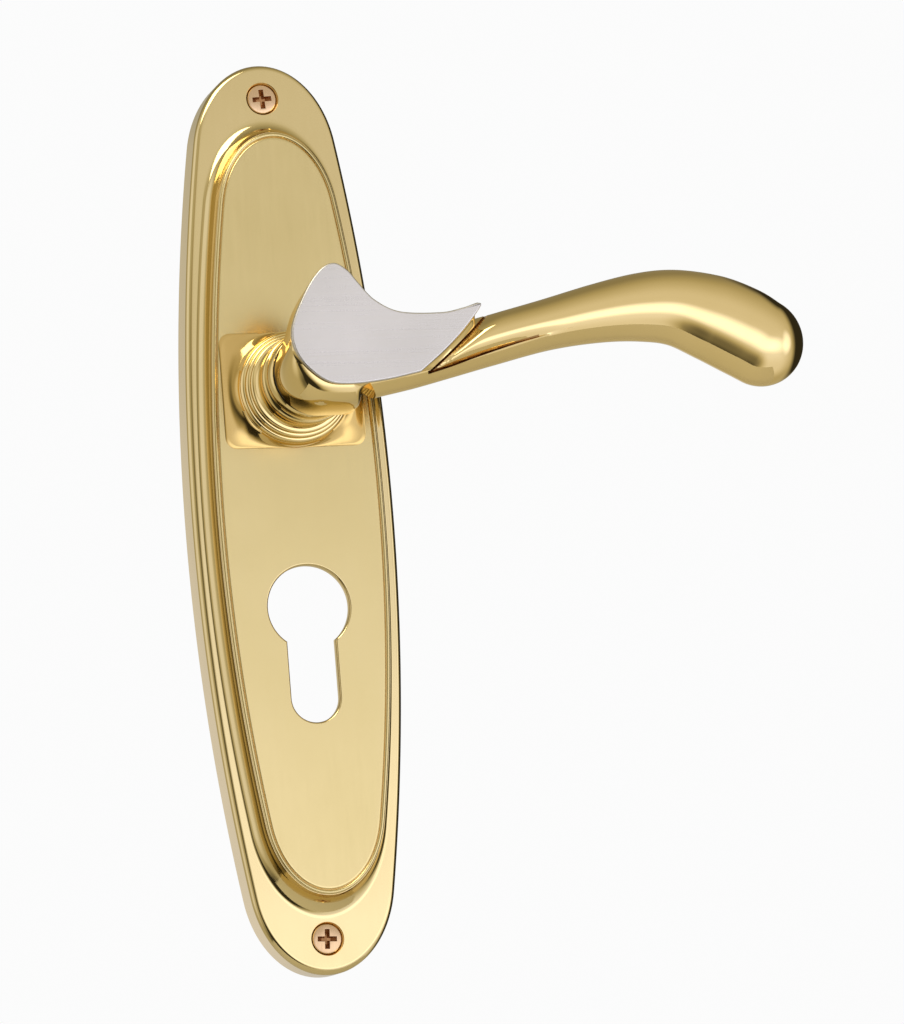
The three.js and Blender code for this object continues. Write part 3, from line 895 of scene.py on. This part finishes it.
def floor():
    half = FLOOR_HALF
    mesh = bpy.data.meshes.new("floor")
    corners = [(-half, -half), (half, -half), (half, half), (-half, half)]
    mesh.from_pydata([(x, y, -FLOOR_DROP) for x, y in corners], [], [(0, 1, 2, 3)])
    piece = bpy.data.objects.new("floor", mesh)
    bpy.context.scene.collection.objects.link(piece)
    n = Finish("pale_floor")
    n.link(n.tone(n.noise(4), (0.86, 0.86, 0.86), (0.9, 0.9, 0.9)), n.shader.inputs["Base Color"])
    n.shader.inputs["Roughness"].default_value = 0.8
    mesh.materials.append(n.material)


def key_light():
    data = bpy.data.lights.new("key_above", "AREA")
    data.shape = "RECTANGLE"
    data.size, data.size_y = KEY_SIZE
    data.energy = KEY_POWER
    light = bpy.data.objects.new("key_above", data)
    light.location = KEY_PLACE
    light.rotation_mode = "QUATERNION"
    light.rotation_quaternion = (Vector(KEY_AIM) - Vector(KEY_PLACE)).to_track_quat("-Z", "Y")
    bpy.context.scene.collection.objects.link(light)


# Soft panels and gaps in the room: azimuth and elevation in degrees from straight out of the door,
# how fast it narrows along X, Y and Z, where it starts and stops fading, and how bright it is.
ROOM_LEVEL, ROOM_LEAST = 0.50, 0.03
WARM, WARM_LEVEL, COOL, COOL_LEVEL = (1, 0.94, 0.74, 1), 0.45, (0.96, 1.0, 1.28, 1), 1.0
BACKDROP = (0.97, 0.97, 0.97, 1)
ROOM_PATCHES = [
    dict(at=(15, -5), squash=(1, 1, 2.8), fade=(0.20, 0.85), level=0.80),
    dict(at=(20, 10), squash=(1, 1, 1.2), fade=(0.30, 1.20), level=0.26),
    dict(at=(34, -38), squash=(1, 1, 0.9), fade=(0.25, 0.92), level=0.34),
    dict(at=(-24, -12), squash=(1.25, 1.25, 0.9), fade=(0.26, 0.60), level=-0.48),
    dict(at=(-22, -37), squash=(1, 1, 1.2), fade=(0.20, 0.62), level=-0.50),
    dict(at=(-60, -48), squash=(1, 1, 1), fade=(0.20, 0.60), level=-0.35),
    dict(at=(112, 8), squash=(1, 1, 1), fade=(0.48, 0.80), level=-0.50),
    dict(at=(-88, 12), squash=(1, 1, 0.8), fade=(0.25, 0.60), level=0.40),
    dict(at=(56, 0), squash=(1, 1, 0.6), fade=(0.06, 0.24), level=0.70),
    dict(at=(180, 55), squash=(1, 1, 1), fade=(0.40, 1.10), level=-0.22),
    dict(at=(185, 0), squash=(1, 1, 1), fade=(0.15, 0.50), level=0.35),
]


def heading(azimuth, elevation):
    a, e = math.radians(azimuth), math.radians(elevation)
    return Vector((math.sin(a) * math.cos(e), -math.cos(a) * math.cos(e), math.sin(e)))


def room_patch(n, direction, at, squash, fade, level):
    """One soft field of the room: how much it adds in a direction."""
    offset = n.fixed("ShaderNodeVectorMath", "SUBTRACT", direction, heading(*at))
    scaled = n.fixed("ShaderNodeVectorMath", "MULTIPLY", offset, squash)
    length = n.add("ShaderNodeVectorMath", operation="LENGTH")
    n.link(scaled, length.inputs[0])
    return n.ranged(length.outputs["Value"], level, 0.0, *fade, curve="SMOOTHSTEP")


def room_level(n):
    """How bright the room is in every direction."""
    direction = n.add("ShaderNodeTexCoord").outputs["Generated"]
    patches = [room_patch(n, direction, **patch) for patch in ROOM_PATCHES]
    level = n.fixed("ShaderNodeMath", "ADD", patches[0], ROOM_LEVEL)
    for patch in patches[1:]:
        level = n.total(patch, level)
    return n.fixed("ShaderNodeMath", "MAXIMUM", level, ROOM_LEAST)


def studio():
    """A pale room with soft panels and dark gaps, and a white backdrop behind the handle."""
    world = bpy.data.worlds.new("studio")
    world.use_nodes = True
    bpy.context.scene.world = world
    n = Nodes(world.node_tree)
    n.tree.nodes.clear()
    level = room_level(n)
    tint = n.add("ShaderNodeValToRGB")
    for stop, position, colour in zip(tint.color_ramp.elements, (WARM_LEVEL, COOL_LEVEL), (WARM, COOL)):
        stop.position, stop.color = position, colour
    n.link(level, tint.inputs["Fac"])
    room = n.add("ShaderNodeBackground")
    n.link(tint.outputs["Color"], room.inputs["Color"])
    n.link(level, room.inputs["Strength"])
    backdrop = n.add("ShaderNodeBackground", Color=BACKDROP)
    choose = n.add("ShaderNodeMixShader")
    n.link(n.add("ShaderNodeLightPath").outputs["Is Camera Ray"], choose.inputs[0])
    n.link(room.outputs[0], choose.inputs[1])
    n.link(backdrop.outputs[0], choose.inputs[2])
    n.link(choose.outputs[0], n.add("ShaderNodeOutputWorld").inputs["Surface"])
    bpy.context.scene.view_settings.view_transform = "Standard"


# The photo's view: degrees to the left of straight on, below level and of lean; where it looks, as
# (x, proud, z) in millimetres; its distance in millimetres; and the lens on a standard sensor.
AZIMUTH, BELOW, ROLL = 17.0, 8.5, -4.726
AIM, DISTANCE, LENS = (33.74, 14.0, -28.08), 1100.0, 177.86


def camera():
    """Left of the handle and a little below it, leaning slightly."""
    a, e, roll = (math.radians(v) for v in (AZIMUTH, BELOW, ROLL))
    forward = Vector((math.sin(a) * math.cos(e), math.cos(a) * math.cos(e), math.sin(e)))
    right = forward.cross(Vector((0, 0, 1))).normalized()
    up = right.cross(forward)
    right, up = right * math.cos(roll) + up * math.sin(roll), up * math.cos(roll) - right * math.sin(roll)
    data = bpy.data.cameras.new("camera")
    data.lens = LENS
    data.clip_start, data.clip_end = 0.05, 20
    body = bpy.data.objects.new("camera", data)
    aim = Vector((AIM[0], -AIM[1], AIM[2])) * MM
    place = Matrix((right, up, -forward)).transposed().to_4x4()
    place.translation = aim - forward * DISTANCE * MM
    body.matrix_world = place
    bpy.context.scene.collection.objects.link(body)
    bpy.context.scene.camera = body


camera()
studio()
key_light()
floor()
backplate()
neck_pad()
neck_collar()
lever()
lever_face()
fixing_screw("fixing_screw_upper", 1, math.radians(4))
fixing_screw("fixing_screw_lower", -1, math.radians(-3))
kept_nodes()
